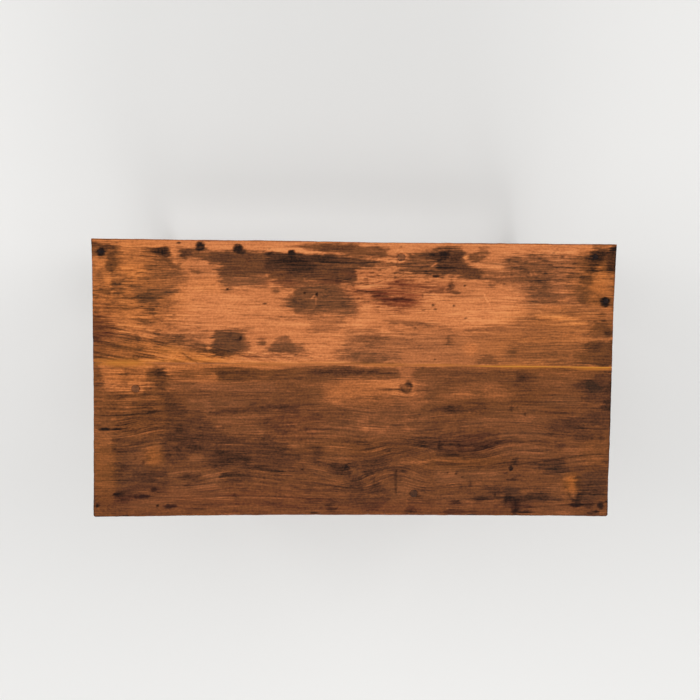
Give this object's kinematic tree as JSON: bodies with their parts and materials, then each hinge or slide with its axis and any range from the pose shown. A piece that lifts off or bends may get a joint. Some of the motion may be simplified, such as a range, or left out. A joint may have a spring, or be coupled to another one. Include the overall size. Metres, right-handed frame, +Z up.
{
  "type": "tavern table",
  "caption": "Rectangular tavern table with an old boarded pine top on turned legs, joined by pegged aprons and box stretchers.",
  "frame": {"origin": "on the floor, under the middle of the top", "axes": "+X along the top towards its right end, +Y from the front edge to the back edge, +Z up"},
  "size_m": [1.14, 0.607, 0.72],
  "materials": {
    "top_pine": "old waxed pine, stained dark in patches",
    "base_pine": "old waxed pine, worn at the edges",
    "peg_wood": "dark end grain",
    "plug_wood": "waxed plug",
    "seam_wax": "hard amber wax filler",
    "iron": "rusted iron"
  },
  "bodies": {
    "root": {"top_board_back": "top_pine", "top_board_front": "top_pine", "seam_filler": "seam_wax", "seam_dowels": "peg_wood", "end_batten_left": "base_pine", "end_batten_right": "base_pine", "batten_screws": "iron", "top_nails": "iron", "top_screws": "iron", "top_plugs": "plug_wood", "leg_front_left": "base_pine", "leg_front_right": "base_pine", "leg_back_left": "base_pine", "leg_back_right": "base_pine", "apron_front": "base_pine", "apron_back": "base_pine", "apron_left": "base_pine", "apron_right": "base_pine", "apron_pegs": "peg_wood", "stretcher_front": "base_pine", "stretcher_back": "base_pine", "stretcher_left": "base_pine", "stretcher_right": "base_pine", "stretcher_pegs": "peg_wood", "glue_blocks": "base_pine"}
  },
  "joints": []
}
